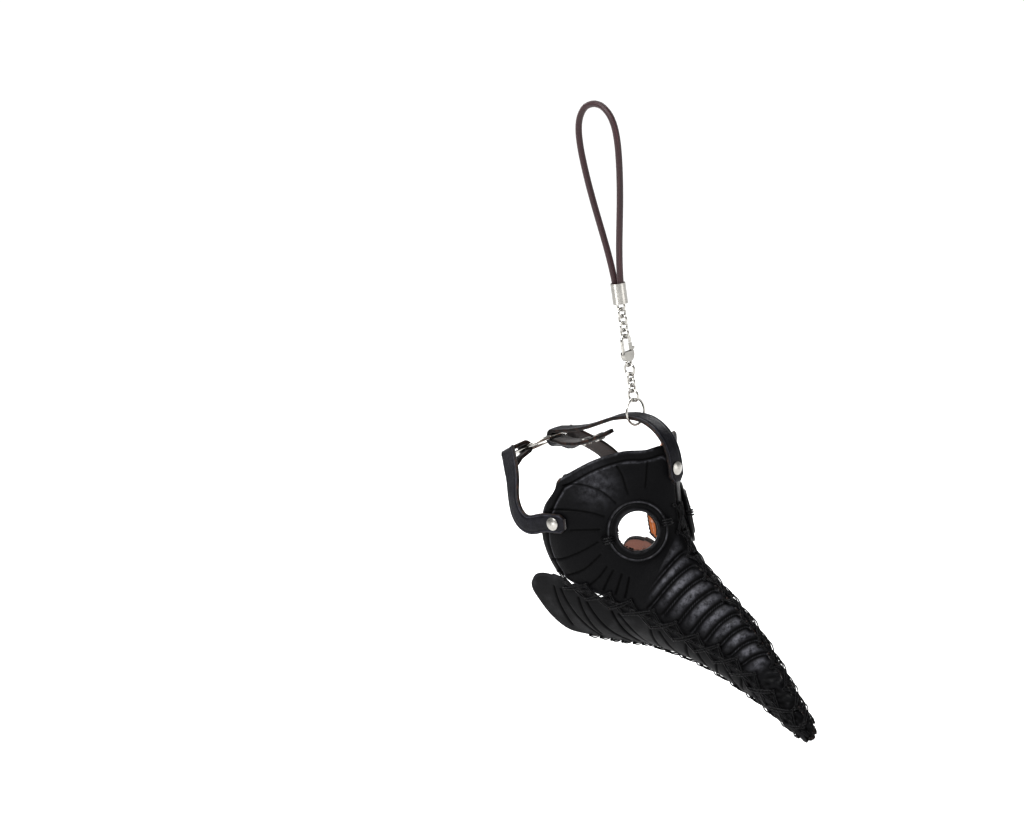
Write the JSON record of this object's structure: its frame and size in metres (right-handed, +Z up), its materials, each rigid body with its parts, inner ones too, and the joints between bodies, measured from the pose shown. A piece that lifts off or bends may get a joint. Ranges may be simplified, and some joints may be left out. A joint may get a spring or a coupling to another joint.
{
  "type": "plague doctor mask charm",
  "caption": "Black leather plague doctor mask charm: laced curved beak, ringed eye holes, riveted strap harness, hung from a cord loop by a clasp chain.",
  "frame": {"origin": "inside the top of the cord loop, where a finger or a peg carries the charm", "axes": "+Z up along the hanging chain, +X towards the beak, Y = 0 the mask's mirror plane with the wearer's left at +Y"},
  "size_m": [0.1137, 0.0612, 0.2154],
  "materials": {
    "panel_leather": "satin dyed vegetable-tanned leather, tan on its flesh side",
    "ring_leather": "satin",
    "strap_leather": "satin, brown on its flesh side",
    "waxed_thread": "waxed",
    "nickel_rivets": "polished nickel",
    "nickel_wire": "polished nickel",
    "nickel_crimp": "polished nickel",
    "cord": "waxed, fine lengthwise fibres"
  },
  "bodies": {
    "loop": {"crimp": "nickel_crimp", "cord_loop": "cord"},
    "link_1": {"chain_link_1": "nickel_wire"},
    "link_2": {"chain_link_2": "nickel_wire"},
    "link_3": {"chain_link_3": "nickel_wire"},
    "link_4": {"chain_link_4": "nickel_wire"},
    "clasp": {"clasp_body": "nickel_wire", "clasp_pin": "nickel_wire", "clasp_spring": "nickel_wire"},
    "gate": {"clasp_gate": "nickel_wire"},
    "upper_ring": {"upper_jump_ring": "nickel_wire"},
    "small_link_1": {"small_link_1": "nickel_wire"},
    "small_link_2": {"small_link_2": "nickel_wire"},
    "small_link_3": {"small_link_3": "nickel_wire"},
    "lower_ring": {"lower_jump_ring": "nickel_wire"},
    "strap_ring": {"strap_ring": "nickel_wire"},
    "mask": {"face_panel_right": "panel_leather", "face_panel_left": "panel_leather", "jaw_panel_right": "panel_leather", "jaw_panel_left": "panel_leather", "eye_ring_right": "ring_leather", "eye_ring_left": "ring_leather", "eye_lashings": "waxed_thread", "top_lacing": "waxed_thread", "side_lacing_right": "waxed_thread", "side_lacing_left": "waxed_thread", "bottom_lacing": "waxed_thread", "forehead_strap": "strap_leather", "side_strap_right": "strap_leather", "side_strap_left": "strap_leather", "forehead_rivet": "nickel_rivets", "cheek_rivets": "nickel_rivets", "strap_eyelets": "nickel_rivets"},
    "harness_ring": {"harness_ring": "nickel_wire"}
  },
  "joints": [
    {"name": "link_1_swing", "type": "hinge", "parent": "loop", "child": "link_1", "pos_m": [0, 0, -0.06842], "axis": [1, 0, 0], "range_deg": [-16, 16]},
    {"name": "link_2_swing", "type": "hinge", "parent": "link_1", "child": "link_2", "pos_m": [0, 0, -0.07076], "axis": [0, 1, 0], "range_deg": [-16, 16]},
    {"name": "link_3_swing", "type": "hinge", "parent": "link_2", "child": "link_3", "pos_m": [0, 0, -0.07311], "axis": [1, 0, 0], "range_deg": [-16, 16]},
    {"name": "link_4_swing", "type": "hinge", "parent": "link_3", "child": "link_4", "pos_m": [0, 0, -0.07544], "axis": [0, 1, 0], "range_deg": [-16, 16]},
    {"name": "clasp_swing", "type": "hinge", "parent": "link_4", "child": "clasp", "pos_m": [0, 0, -0.07779], "axis": [1, 0, 0], "range_deg": [-16, 16]},
    {"name": "gate_open", "type": "hinge", "parent": "clasp", "child": "gate", "pos_m": [0, 0.0014, -0.0835], "axis": [1, 0, 0], "range_deg": [0, 25], "stiffness_Nm_per_rad": 0.002, "springref_deg": -11.46},
    {"name": "upper_ring_swing", "type": "hinge", "parent": "clasp", "child": "upper_ring", "pos_m": [0, 0, -0.08735], "axis": [0, 1, 0], "range_deg": [-16, 16]},
    {"name": "small_link_1_swing", "type": "hinge", "parent": "upper_ring", "child": "small_link_1", "pos_m": [0, 0, -0.09049], "axis": [1, 0, 0], "range_deg": [-16, 16]},
    {"name": "small_link_2_swing", "type": "hinge", "parent": "small_link_1", "child": "small_link_2", "pos_m": [0, 0, -0.09241], "axis": [0, 1, 0], "range_deg": [-16, 16]},
    {"name": "small_link_3_swing", "type": "hinge", "parent": "small_link_2", "child": "small_link_3", "pos_m": [0, 0, -0.09434], "axis": [1, 0, 0], "range_deg": [-16, 16]},
    {"name": "lower_ring_swing", "type": "hinge", "parent": "small_link_3", "child": "lower_ring", "pos_m": [0, 0, -0.09628], "axis": [0, 1, 0], "range_deg": [-16, 16]},
    {"name": "strap_ring_swing", "type": "hinge", "parent": "lower_ring", "child": "strap_ring", "pos_m": [0, 0, -0.09945], "axis": [1, 0, 0], "range_deg": [-16, 16]},
    {"name": "mask_swing", "type": "hinge", "parent": "strap_ring", "child": "mask", "pos_m": [0, 0, -0.1053], "axis": [0, 1, 0], "range_deg": [-12, 12]},
    {"name": "harness_ring_turn", "type": "hinge", "parent": "mask", "child": "harness_ring", "pos_m": [-0.04534, 0, -0.11503], "axis": [-0.3633, 0, 0.9317], "continuous": true}
  ]
}
